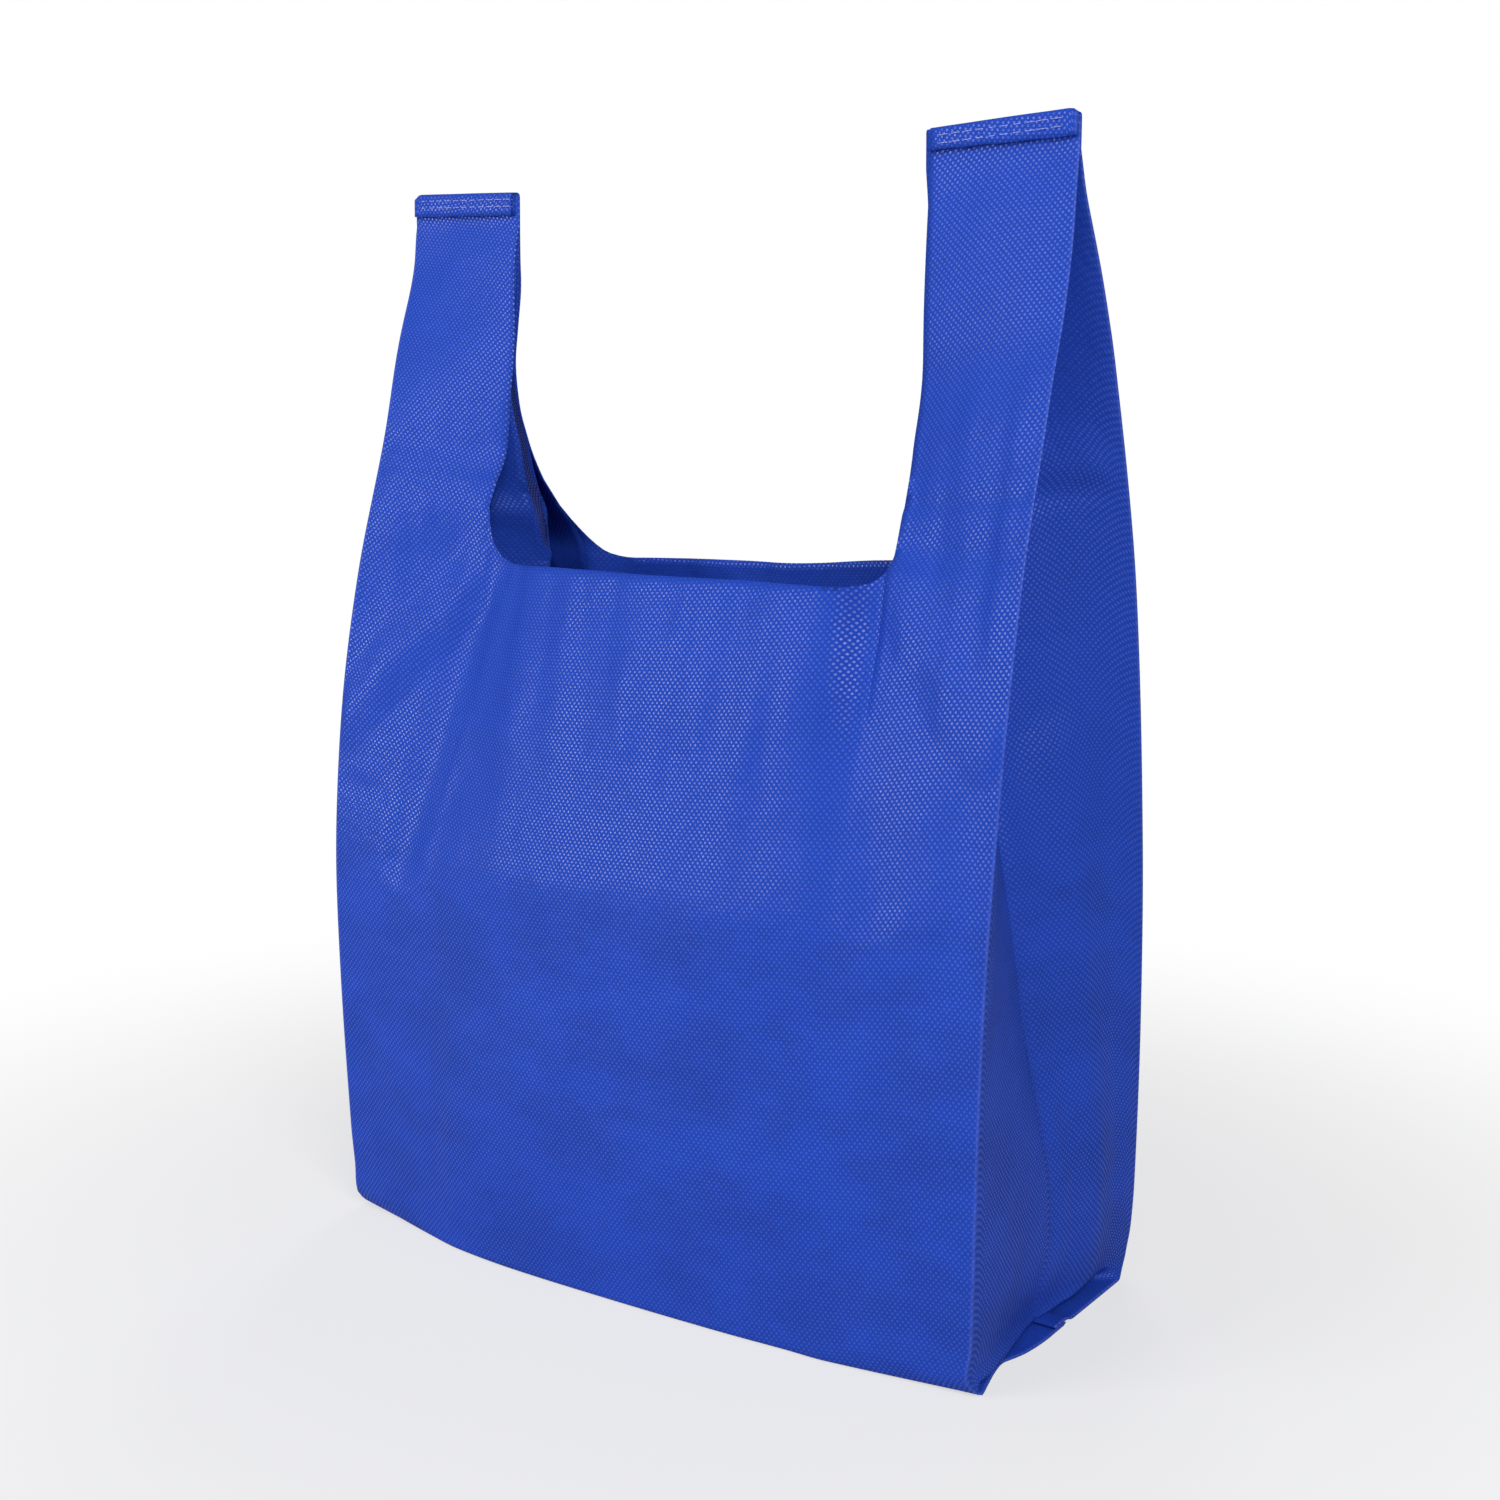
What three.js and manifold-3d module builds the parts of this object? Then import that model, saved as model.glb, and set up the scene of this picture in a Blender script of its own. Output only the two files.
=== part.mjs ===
// A vest-style carrier bag of nonwoven cloth, standing open and empty.
//
// Millimetres, +Z up. The front panel faces -Y, and the bag is widest along X. The origin is on the
// floor under the middle of the bag's box.
//
// The cloth is one tube with two side gussets, closed by a seam across the bottom. It is laid flat
// and cut through all its plies, which leaves the mouth and two handles, and each handle's top is
// folded over to the front and sewn with two rows of lockstitch.

import * as THREE from 'three';
import { mergeVertices } from 'three/addons/utils/BufferGeometryUtils.js';
import Module from 'manifold-3d';

const wasm = await Module();
wasm.setup();

// The cloth, laid flat. u runs across a panel from its middle, and a gusset's u runs back in from
// the crease.
const CLOTH = 0.4; // thickness of one ply
const HALF_PANEL = 152; // half the width of the front panel
const GUSSET = 65; // depth of the folded gusset, from crease to valley
const STRAP = 57; // width of a handle
const STRAP_U = HALF_PANEL - STRAP; // inner edge of a handle
const VALLEY_U = HALF_PANEL - GUSSET; // fold at the bottom of a gusset

// Heights of the standing bag.
const MOUTH_Z = 264; // lowest edge of the mouth
const CORNER = { width: 24, height: 34 }; // rounding where the mouth turns up into a handle
const CORNER_Z = MOUTH_Z + CORNER.height;
const TOP_Z = 415; // top of the handles
const POCKET_Z = 15; // how far a gusset's lower edge stands off the base, at its middle

// The hem on top of a handle, and its stitches.
const HEM = { height: 9, back: 1.3, front: 3.2, inside: 2 };
const PLY_GAP = 0.7; // from the middle of one ply to the middle of the next
const FOLD = 3; // width of the round fold at a crease
const STITCH = { pitch: 4.6, margin: 2.6, hole: 1, thread: 0.4, gap: 0.3, rows: [3, 5.6] };

// The seam allowance inside the base, folded flat to the back.
const SEAM = { width: 7, height: 1.2, overlap: 1 };

// Where the creases and the other leading lines of the panels stand, as [height, place] points.
const RIGHT_CREASE_X = [[0, 145], [100, 146.5], [300, 148], [360, 146.5], [TOP_Z, 142.5]];
const LEFT_CREASE_X = [[0, -142], [85, -147], [150, -151.5], [210, -153], [310, -150], [385, -156], [TOP_Z, -157]];
const RIGHT_STRAP_X = [[0, 91], [MOUTH_Z, 93], [330, 92.5], [TOP_Z, 87]];
const LEFT_STRAP_X = [[0, -90], [MOUTH_Z, -96], [330, -96], [TOP_Z, -99]];
const CREASE_Y = [[0, 61], [35, 63], [100, 62.5], [166, 58], [259, 44], [321, 26.5], [353, 15.5], [385, 5.5], [TOP_Z, 0.95]];
const STRAP_Y = [[0, 67], [110, 65], [180, 54], [230, 38], [MOUTH_Z, 28], [300, 20], [340, 10], [385, 4], [TOP_Z, 1.05]];
const MIDDLE_Y = [[0, 73], [60, 73], [150, 66], [MOUTH_Z, 44], [320, 20], [TOP_Z, 1.05]];
const VALLEY_Y = [[0, 0], [CORNER_Z - 20, 0], [CORNER_Z + 12, 4], [340, 2.6], [TOP_Z, 0.35]];

// Steps of the mesh, from the seam in the base up to the hem.
const BASE_STEPS = [0, 0.5, 1];
const WALL_STEPS = [0, 0.06, 0.18, 0.32, 0.46, 0.6, 0.74, 0.87, 1];
const SAME_PLANE = 0.98; // cosine between faces that count as one plane
const CORNER_STEPS = 4;
const STRAP_STEPS = 5;

const cloth = () => new THREE.MeshStandardMaterial({ name: 'cloth', color: 0x2b4cb4, roughness: 0.75 });
const thread = () => new THREE.MeshStandardMaterial({ name: 'thread', color: 0xb9c2ee, roughness: 0.6 });

// Height of a smooth curve through [t, value] points.
function curveAt(points, t) {
  const last = points.length - 1;
  if (t <= points[0][0]) return points[0][1];
  if (t >= points[last][0]) return points[last][1];
  const i = points.findIndex((point, k) => k < last && t <= points[k + 1][0]);
  const slope = (k) => {
    const before = points[Math.max(k - 1, 0)];
    const after = points[Math.min(k + 1, last)];
    return (after[1] - before[1]) / (after[0] - before[0]);
  };
  const [t0, v0] = points[i];
  const [t1, v1] = points[i + 1];
  const width = t1 - t0;
  const s = (t - t0) / width;
  const start = v0 * (1 + 2 * s) * (1 - s) ** 2 + v1 * s * s * (3 - 2 * s);
  return start + width * s * (1 - s) * (slope(i) * (1 - s) - slope(i + 1) * s);
}

// A point of the front panel, u across it and z up the bag.
function panelPoint(u, z) {
  const x = [
    [-HALF_PANEL, curveAt(LEFT_CREASE_X, z)],
    [-STRAP_U, curveAt(LEFT_STRAP_X, z)],
    [STRAP_U, curveAt(RIGHT_STRAP_X, z)],
    [HALF_PANEL, curveAt(RIGHT_CREASE_X, z)],
  ];
  const y = [
    [-HALF_PANEL, curveAt(CREASE_Y, z)],
    [-STRAP_U, curveAt(STRAP_Y, z)],
    [0, curveAt(MIDDLE_Y, z)],
    [STRAP_U, curveAt(STRAP_Y, z)],
    [HALF_PANEL, curveAt(CREASE_Y, z)],
  ];
  return new THREE.Vector3(curveAt(x, u), -curveAt(y, u), Math.max(z, CLOTH / 2));
}

// A point of the front half of a gusset. side is 1 on the right and -1 on the left.
function gussetPoint(side, u, z) {
  const crease = panelPoint(side * HALF_PANEL, z);
  const valleyY = curveAt(VALLEY_Y, z);
  const depth = Math.sqrt(GUSSET ** 2 - (-crease.y - valleyY) ** 2);
  const valley = new THREE.Vector3(crease.x - side * depth, -valleyY, z);
  const across = (HALF_PANEL - u) / GUSSET;
  const point = crease.lerp(valley, across);
  point.y += PLY_GAP * Math.min(1, (HALF_PANEL - u) / FOLD) * (1 - across);
  return point;
}

// Height of the mouth's edge above MOUTH_Z, where the flat cloth is cut at u.
function cutHeight(u) {
  const along = (Math.abs(u) - (STRAP_U - CORNER.width)) / CORNER.width;
  if (along <= 0) return 0;
  return CORNER.height * (1 - (1 - Math.min(along, 1) ** 3) ** (1 / 3));
}

function steps(from, to, count) {
  return Array.from({ length: count + 1 }, (_, k) => from + ((to - from) * k) / count);
}

// A closed solid of one ply, its middle surface given as points and triangles.
function thicken(points, triangles) {
  const planes = points.map(() => []);
  triangles.forEach((corners) => {
    const normal = new THREE.Triangle(...corners.map((p) => points[p])).getNormal(new THREE.Vector3());
    corners.forEach((p) => {
      if (planes[p].every((other) => other.dot(normal) < SAME_PLANE)) planes[p].push(normal);
    });
  });
  const offset = (p, sign) => {
    const normal = planes[p].reduce((sum, plane) => sum.add(plane), new THREE.Vector3()).normalize();
    const mitre = planes[p].reduce((sum, plane) => sum + plane.dot(normal), 0) / planes[p].length;
    const moved = points[p].clone().addScaledVector(normal, (sign * CLOTH) / 2 / mitre);
    moved.z = Math.max(moved.z, 0);
    return moved;
  };
  const vertices = [...points.map((_, p) => offset(p, 1)), ...points.map((_, p) => offset(p, -1))];
  const under = points.length;
  const faces = [];
  const edges = new Set();
  triangles.forEach(([a, b, c]) => {
    faces.push([a, b, c], [c + under, b + under, a + under]);
    [[a, b], [b, c], [c, a]].forEach(([from, to]) => edges.add(`${from} ${to}`));
  });
  edges.forEach((edge) => {
    const [from, to] = edge.split(' ').map(Number);
    if (!edges.has(`${to} ${from}`)) {
      faces.push([to, from, from + under], [to, from + under, to + under]);
    }
  });
  return new wasm.Manifold(new wasm.Mesh({
    numProp: 3,
    vertProperties: new Float32Array(vertices.flatMap((vertex) => vertex.toArray())),
    triVerts: new Uint32Array(faces.flat()),
  }));
}

// A sheet of columns, each a list of points from the bottom up. Neighbours are joined as far as
// both of them reach, and points that fall together are one.
function sheet(columns) {
  const points = [];
  const known = new Map();
  const indexOf = (point) => {
    const key = point.toArray().map((value) => value.toFixed(3)).join(' ');
    if (!known.has(key)) {
      known.set(key, points.length);
      points.push(point);
    }
    return known.get(key);
  };
  const indices = columns.map((column) => column.map(indexOf));
  const triangles = [];
  for (let c = 0; c + 1 < indices.length; c += 1) {
    const [left, right] = [indices[c], indices[c + 1]];
    for (let r = 0; r + 1 < Math.min(left.length, right.length); r += 1) {
      triangles.push([left[r], right[r], right[r + 1]], [left[r], right[r + 1], left[r + 1]]);
    }
  }
  return thicken(points, triangles.filter(([a, b, c]) => a !== b && b !== c && c !== a));
}

// Heights of the points in the column at u: up the wall, round the mouth's corner, up the handle.
function columnHeights(u) {
  const wall = WALL_STEPS.map((step) => step * MOUTH_Z);
  if (Math.abs(u) <= STRAP_U - CORNER.width) return wall;
  const corner = steps(MOUTH_Z, MOUTH_Z + cutHeight(u), CORNER_STEPS).slice(1);
  if (Math.abs(u) < STRAP_U) return [...wall, ...corner];
  const strap = steps(CORNER_Z, TOP_Z - HEM.height + HEM.inside, STRAP_STEPS).slice(1);
  return [...wall, ...corner, ...strap];
}

// Places of the columns across one half of the front panel, from the middle out.
const cornerColumns = steps(0, Math.PI / 2, 4).map((angle) => STRAP_U - CORNER.width * (1 - Math.sin(angle)));
const strapColumns = [...steps(STRAP_U, HALF_PANEL, 3).slice(1, -1), HALF_PANEL - FOLD, HALF_PANEL];
const halfColumns = [24, 47, ...cornerColumns, ...strapColumns];
const panelColumns = [...halfColumns.map((u) => -u).reverse(), 0, ...halfColumns];

// The front panel with the front half of the base. The back is the same, turned over.
function frontPanel() {
  return sheet(panelColumns.map((u) => {
    const edge = panelPoint(u, 0);
    const base = BASE_STEPS.slice(0, -1).map((step) => new THREE.Vector3(edge.x, edge.y * step, CLOTH / 2));
    return [...base, ...columnHeights(u).map((z) => panelPoint(u, z))];
  }));
}

// One gusset, both halves, joined at the valley. Its lower edge stands off the base.
function gusset(side) {
  const half = [...strapColumns.slice().reverse(), STRAP_U, (STRAP_U + VALLEY_U) / 2, VALLEY_U];
  const front = half.map((u) => {
    const rise = (POCKET_Z * (HALF_PANEL - u)) / GUSSET;
    return columnHeights(u).map((z) => {
      const lift = rise * Math.max(0, 1 - z / (WALL_STEPS[3] * MOUTH_Z));
      return gussetPoint(side, u, Math.max(z, CLOTH / 2) + lift);
    });
  });
  const mirror = new THREE.Vector3(1, -1, 1);
  const back = front.slice(0, -1).reverse().map((column) => column.map((point) => point.clone().multiply(mirror)));
  const columns = [...front, ...back];
  return sheet(side > 0 ? columns : columns.reverse());
}

// The folded triangle at the bottom of half a gusset: two plies, open to the outside as a pocket.
function pocket(side) {
  const corner = panelPoint(side * HALF_PANEL, 0);
  const middle = gussetPoint(side, VALLEY_U, POCKET_Z);
  const lowerZ = CLOTH * 2.2;
  const seamEnd = new THREE.Vector3(corner.x, 0, lowerZ);
  const inner = new THREE.Vector3(corner.x - side * GUSSET, 0, lowerZ);
  const lower = thicken([corner, seamEnd, inner], [[0, 1, 2]]);
  const upper = thicken([corner, middle, inner], [[0, 1, 2]]);
  return lower.add(upper);
}

// A closed mesh as a solid.
function solid(geometry) {
  const bare = geometry.index ? geometry.toNonIndexed() : geometry.clone();
  bare.deleteAttribute('normal');
  bare.deleteAttribute('uv');
  const merged = mergeVertices(bare);
  return new wasm.Manifold(new wasm.Mesh({
    numProp: 3,
    vertProperties: new Float32Array(merged.attributes.position.array),
    triVerts: new Uint32Array(merged.index.array),
  }));
}

function box(width, depth, height, x, y, z) {
  return solid(new THREE.BoxGeometry(width, depth, height).translate(x, y, z));
}

// The ends of a handle's top edge, just under the hem's fold.
function hemEnds(side) {
  const ends = [panelPoint(side * STRAP_U, TOP_Z).x, panelPoint(side * HALF_PANEL, TOP_Z).x];
  return ends.sort((a, b) => a - b);
}

// Middles of the needle holes in a row of stitches.
function holePlaces(side) {
  const [start, end] = hemEnds(side);
  const count = Math.floor((end - start - 2 * STITCH.margin) / STITCH.pitch);
  const first = (start + end - count * STITCH.pitch) / 2;
  return steps(first, first + count * STITCH.pitch, count);
}

// The hem: every ply folded over to the front, with a round top and needle holes right through.
function hem(side) {
  const [start, end] = hemEnds(side);
  const radius = (HEM.front + HEM.back) / 2;
  const shape = new THREE.Shape();
  shape.moveTo(-HEM.front, -HEM.height);
  shape.lineTo(HEM.back, -HEM.height);
  shape.lineTo(HEM.back, -radius);
  shape.absarc(HEM.back - radius, -radius, radius, 0, Math.PI, false);
  const block = new THREE.ExtrudeGeometry(shape, { depth: end - start, bevelEnabled: false, curveSegments: 8 });
  const axes = new THREE.Matrix4().set(0, 0, 1, start, 1, 0, 0, 0, 0, 1, 0, TOP_Z, 0, 0, 0, 1);
  let hemSolid = solid(block.applyMatrix4(axes));
  STITCH.rows.forEach((row) => holePlaces(side).forEach((x) => {
    hemSolid = hemSolid.subtract(box(STITCH.hole, 20, STITCH.hole, x, 0, TOP_Z - row));
  }));
  return hemSolid;
}

// The whole cloth as one solid.
function bagBody() {
  const turnOver = (piece) => piece.mirror([0, 1, 0]);
  const front = frontPanel();
  const seamLength = panelPoint(HALF_PANEL, 0).x - panelPoint(-HALF_PANEL, 0).x;
  const seamMiddle = (panelPoint(HALF_PANEL, 0).x + panelPoint(-HALF_PANEL, 0).x) / 2;
  const seam = box(seamLength, SEAM.width, SEAM.height, seamMiddle, SEAM.width / 2 - SEAM.overlap,
    SEAM.height / 2 + CLOTH / 4);
  let body = front.add(turnOver(front)).add(seam);
  [-1, 1].forEach((side) => {
    const folded = pocket(side);
    body = body.add(gusset(side)).add(folded).add(turnOver(folded)).add(hem(side));
  });
  const mesh = body.getMesh();
  const geometry = new THREE.BufferGeometry();
  geometry.setAttribute('position', new THREE.BufferAttribute(new Float32Array(mesh.vertProperties), 3));
  geometry.setIndex(new THREE.BufferAttribute(new Uint32Array(mesh.triVerts), 1));
  return geometry;
}

// One thread of a row of stitches: a float along the cloth with a leg down each needle hole. face is
// -1 for the needle thread on the front and 1 for the bobbin thread on the back.
function threadGeometry(side, row, face) {
  const surface = face < 0 ? -HEM.front : HEM.back;
  const inner = surface + face * STITCH.gap;
  const outer = inner + face * STITCH.thread;
  const middle = (HEM.back - HEM.front) / 2;
  const tip = middle + face * STITCH.gap * 1.5;
  const holes = holePlaces(side);
  const half = STITCH.thread / 2;
  const outline = [[holes[0] - half, outer], [holes[0] - half, tip], [holes[0] + half, tip]];
  holes.slice(1).forEach((x, k) => {
    outline.push([holes[k] + half, inner], [x - half, inner], [x - half, tip], [x + half, tip]);
  });
  outline.push([holes[holes.length - 1] + half, outer]);
  const shape = new THREE.Shape(outline.map(([x, y]) => new THREE.Vector2(x, y)));
  const geometry = new THREE.ExtrudeGeometry(shape, { depth: STITCH.thread, bevelEnabled: false });
  return geometry.translate(0, 0, TOP_Z - row - half);
}

const bag = new THREE.Group();

function addPiece(name, geometry, material) {
  const mesh = new THREE.Mesh(geometry, material);
  mesh.name = name;
  bag.add(mesh);
}

addPiece('bag_body', bagBody(), cloth());
[['left', -1], ['right', 1]].forEach(([sideName, side]) => {
  [['upper', STITCH.rows[0]], ['lower', STITCH.rows[1]]].forEach(([rowName, row]) => {
    addPiece(`${sideName}_${rowName}_needle_thread`, threadGeometry(side, row, -1), thread());
    addPiece(`${sideName}_${rowName}_bobbin_thread`, threadGeometry(side, row, 1), thread());
  });
});

// Bring the middle of the box over the origin.
const middle = new THREE.Box3().setFromObject(bag).getCenter(new THREE.Vector3());
bag.children.forEach((mesh) => mesh.position.set(-middle.x, -middle.y, 0));

export default bag;
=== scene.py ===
import math

import bpy
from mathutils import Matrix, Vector, noise


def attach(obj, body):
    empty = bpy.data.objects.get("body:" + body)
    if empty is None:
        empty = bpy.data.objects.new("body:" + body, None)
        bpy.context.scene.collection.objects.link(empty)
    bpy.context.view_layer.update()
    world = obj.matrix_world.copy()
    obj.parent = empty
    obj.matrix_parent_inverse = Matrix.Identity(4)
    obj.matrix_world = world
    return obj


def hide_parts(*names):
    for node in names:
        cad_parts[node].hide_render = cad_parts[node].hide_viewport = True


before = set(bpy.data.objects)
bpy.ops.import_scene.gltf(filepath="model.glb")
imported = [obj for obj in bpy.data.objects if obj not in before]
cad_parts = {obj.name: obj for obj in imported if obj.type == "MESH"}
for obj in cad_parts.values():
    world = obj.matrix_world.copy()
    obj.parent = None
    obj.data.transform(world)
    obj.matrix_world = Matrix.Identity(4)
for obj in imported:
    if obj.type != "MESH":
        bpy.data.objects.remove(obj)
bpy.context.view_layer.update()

bag = {
    "ply": 0.34,  # thickness of the cloth
    "plyGap": 0.5,  # from one ply to the next where they lie together
    "hemGap": 0.38,  # the same in the pressed hem
    "halfPanel": 152.0,  # half the width of a panel
    "gusset": 65.0,  # depth of the folded gusset
    "strap": 57.0,  # width of a handle
    "mouthZ": 264.0,  # lowest edge of the mouth
    "cornerWidth": 24.0,  # rounding where the mouth turns up into a handle
    "cornerHeight": 34.0,  # and how far up it reaches
    "strapTop": 402.0,  # where the handle's plies have come together
    "topZ": 415.0,  # top of the folded ends
    "hemDrop": 9.0,  # how far the folded end reaches down the front
    "seam": 7.0,  # width of the welded seam under the base
    "shiftX": 4.434,  # from the bag's own middle to the middle of its box
    "cell": 3.0,  # size of the mesh's cells
}
strapU = bag["halfPanel"] - bag["strap"]
valleyU = bag["halfPanel"] - bag["gusset"]
cornerZ = bag["mouthZ"] + bag["cornerHeight"]

# Leading lines of the bag as [height, place] points: 1 is the right side, -1 the left.
creaseX = {
    1: [[0, 145.5], [6, 143.4], [18, 145], [40, 145.8], [100, 146.5], [300, 148], [360, 146.5], [415, 142.5]],
    -1: [[0, -142], [85, -147], [150, -151.5], [210, -153], [310, -150], [385, -156], [415, -157]],
}
rightStrapX = [[0, 91], [264, 93], [330, 92.5], [415, 87]]
leftStrapX = {
    -1: [[0, -90], [264, -95.5], [300, -94.5], [335, -94.5], [384, -99.5], [415, -99]],
    1: [[0, -90], [264, -95.5], [286, -97.2], [296, -98.9], [318, -100.3], [344, -101], [376, -100.6],
        [394, -100.9], [415, -99]],
}
creaseDepth = [[0, 57], [6, 62], [18, 62.3], [35, 63], [100, 62.5], [166, 58], [259, 44], [321, 26.5],
               [353, 15.5], [385, 4.6], [402, 0.38]]

# Depth of a panel in front of or behind the middle plane, on lines up the cloth at u.
frontLines = {
    -95: [[0, 69], [110, 66], [180, 54], [230, 38], [264, 27], [281, 26], [291, 24.5], [302, 18.3],
          [315, 13.7], [332, 12.6], [346, 10.3], [366, 6.2], [384, 3.2], [402, 0.57]],
    -80: [[0, 71.5], [60, 71.5], [150, 63], [210, 48], [264, 29.5]],
    -50: [[0, 73], [60, 73], [150, 66], [210, 54], [264, 38]],
    0: [[0, 72], [60, 73], [150, 67], [210, 57], [264, 44]],
    50: [[0, 69.7], [60, 70.7], [150, 66], [210, 56.5], [264, 44.5]],
    80: [[0, 67.4], [60, 68], [150, 63.5], [210, 54], [264, 43.5]],
    95: [[0, 66.5], [110, 64.5], [180, 56], [230, 43], [264, 33], [272, 28], [283, 25], [297, 20],
         [310, 16.5], [330, 11], [357, 7], [384, 4], [402, 0.57]],
}
backLines = {
    -95: [[0, 67], [110, 65], [180, 54], [230, 40], [264, 31], [275, 29], [286, 20], [296, 12.5],
          [307, 6.6], [318, 2.6], [328, -0.8], [344, -3.2], [359, -1.6], [376, 1.2], [391, 1.8], [402, 0.57]],
    -80: [[0, 69.5], [60, 70], [150, 63], [210, 53], [264, 39.5]],
    -50: [[0, 71.5], [60, 72], [150, 65.5], [210, 56], [264, 42.5]],
    0: [[0, 72], [60, 73], [150, 67], [210, 57], [264, 44]],
    50: [[0, 71], [60, 72], [150, 66], [210, 56.5], [264, 44]],
    80: [[0, 69], [60, 69.5], [150, 63.5], [210, 54], [264, 42]],
    95: [[0, 67], [110, 65], [180, 54], [230, 38], [264, 29], [300, 20], [340, 10], [384, 4], [402, 0.57]],
}
panelLines = {-1: frontLines, 1: backLines}
mouthSag = {
    -1: [[-95, 0.5], [-73, 0.8], [-46, 0.6], [0, -0.7], [40, -1.5], [80, -2.8], [95, -3]],
    1: [[-95, 1.5], [-60, 1.8], [-26, 1.6], [9, 1], [50, 3], [95, 1.5]],
}

# How far a gusset is tucked in at its middle, below the mouth, and where that fold stands in Y.
tuck = [[0, 8.5], [14, 7.4], [33, 5], [55, 5.8], [83, 11.3], [117, 18.2], [138, 21.9], [156, 25.2],
        [176, 29.8], [200, 36.9], [230, 43.3], [264, 49]]
extraTuck = {
    (1, -1): [[0, 0], [415, 0]],
    (1, 1): [[0, 0], [415, 0]],
    (-1, -1): [[0, 0], [140, 0], [200, 3], [264, 6], [284, 5.6], [304, 2.6], [324, -0.8],
               [344, -2], [370, -1.5], [402, -1]],
    (-1, 1): [[0, 0], [140, 0], [200, 3], [264, 5], [284, 3], [304, -0.8], [324, -3.6],
              [344, -4.5], [370, -2.5], [402, -1]],
}
valleyY = {
    1: [[0, 0], [415, 0]],
    -1: [[0, 0], [120, 0], [150, 1], [200, 6], [264, 12], [286, 9.5], [307, 1.8], [328, -4.6],
         [344, -6.6], [359, -5.2], [376, -1.6], [391, 0], [415, 0]],
}
valleyGap = {
    1: [[0, 0], [280, 0], [310, 4], [340, 2.6], [402, 0.19]],
    -1: [[0, 0], [272, 0], [286, 0.8], [307, 0.5], [344, 0.3], [402, 0.19]],
}

# The outer edges of the base, as [distance from the seam, how far the edge stands in].
lipFront = [[0, 0.3], [8, 0.3], [16, 0.9], [22, 1.8], [27, 3.2], [32, 4.7], [40, 3.6], [48, 1.6], [57, -0.5],
            [66.5, 0]]
lipBack = [[0, 0.3], [66.5, 0]]

# Lower edge of a gusset above the base, as [distance from the crease, height].
liftFront = [[0, 0], [5, 2.2], [12, 2], [25, 1.4], [40, 1.2], [65, 1.6]]
liftBack = [[0, 0], [8, 4], [17, 5.6], [27, 6.2], [36, 3.6], [47, 2], [65, 1.6]]

# Soft folds as [from u, from z, to u, to z, half width, height], a ridge outward being positive.
frontFolds = [
    [-97, 262, -150, 202, 15, 3.2], [-90, 260, -113, 150, 13, -2.6], [98, 262, 142, 212, 13, 2.2],
    [92, 256, 108, 158, 12, -1.8], [-152, 177, -126, 173, 3.5, -0.8], [-126, 66, -100, 44, 3.5, 0.7],
    [-112, 34, -86, 50, 3, -0.6], [-60, 42, -38, 34, 3, 0.5], [-150, 313, -97, 308, 6, -0.9],
    [-150, 299, -98, 296, 4, 0.6], [97, 288, 150, 291, 3.5, -1.1], [30, 262, 22, 190, 8, -1.2],
    [-28, 262, -22, 205, 9, -1.0], [60, 262, 52, 200, 8, 1.0], [2, 262, 0, 205, 8, 1.0],
]
backFolds = [
    [-97, 262, -146, 206, 15, 2.6], [-90, 258, -110, 160, 12, -2.0], [97, 262, 148, 200, 14, 2.8],
    [90, 258, 112, 152, 12, -2.2], [20, 262, 28, 190, 9, 1.1], [-40, 262, -30, 200, 8, -1.0],
    [110, 60, 84, 36, 3.5, 0.7], [-60, 80, -30, 66, 4, 0.6],
]
gussetFolds = [
    [96, 200, 98, 12, 17, 3.4], [66, 190, 70, 30, 5, -1.6], [-6, 305, 136, 300, 16, 4.4],
    [-6, 288, 136, 294, 7, -3.8], [18, 92, 44, 60, 9, 1.0], [110, 40, 78, 70, 4, -0.7],
    [8, 268, 26, 196, 13, 2.2],
]


def curveAt(points, t):
    # A smooth curve through [place, value] points.
    last = len(points) - 1
    if t <= points[0][0]:
        return points[0][1]
    if t >= points[last][0]:
        return points[last][1]
    i = next(k for k in range(last) if t <= points[k + 1][0])

    def slope(k):
        before, after = points[max(k - 1, 0)], points[min(k + 1, last)]
        return (after[1] - before[1]) / (after[0] - before[0])

    (t0, v0), (t1, v1) = points[i], points[i + 1]
    width = t1 - t0
    s = (t - t0) / width
    start = v0 * (1 + 2 * s) * (1 - s) ** 2 + v1 * s * s * (3 - 2 * s)
    return start + width * s * (1 - s) * (slope(i) * (1 - s) - slope(i + 1) * s)


def ease(a, b, t):
    # 0 at a, 1 at b and smooth between them.
    s = min(max((t - a) / (b - a), 0.0), 1.0)
    return s * s * (3 - 2 * s)


def mix(a, b, t):
    return a + (b - a) * t


def wave(u, z, acrossSize, upSize, seed):
    return noise.noise(Vector((u / acrossSize, z / upSize, seed * 7.31)))


def foldRelief(folds, u, z):
    total = 0.0
    for u0, z0, u1, z1, half, height in folds:
        du, dz = u1 - u0, z1 - z0
        length2 = du * du + dz * dz
        along = ((u - u0) * du + (z - z0) * dz) / length2
        near = min(max(along, 0.0), 1.0)
        away = math.hypot(u - u0 - du * near, z - z0 - dz * near) / half
        if away < 1.0:
            rounded = 1.0 - math.sqrt(away * away + 0.02) + 0.02 * away
            total += height * max(rounded, 0.0) * ease(1.0, 0.8, away)
    return total


def cutHeight(u, sharp=3.0):
    # How far the cut edge of the mouth has risen at u.
    along = (abs(u) - (strapU - bag["cornerWidth"])) / bag["cornerWidth"]
    if along <= 0:
        return 0.0
    return bag["cornerHeight"] * (1 - (1 - min(along, 1.0) ** sharp) ** (1 / sharp))


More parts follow.
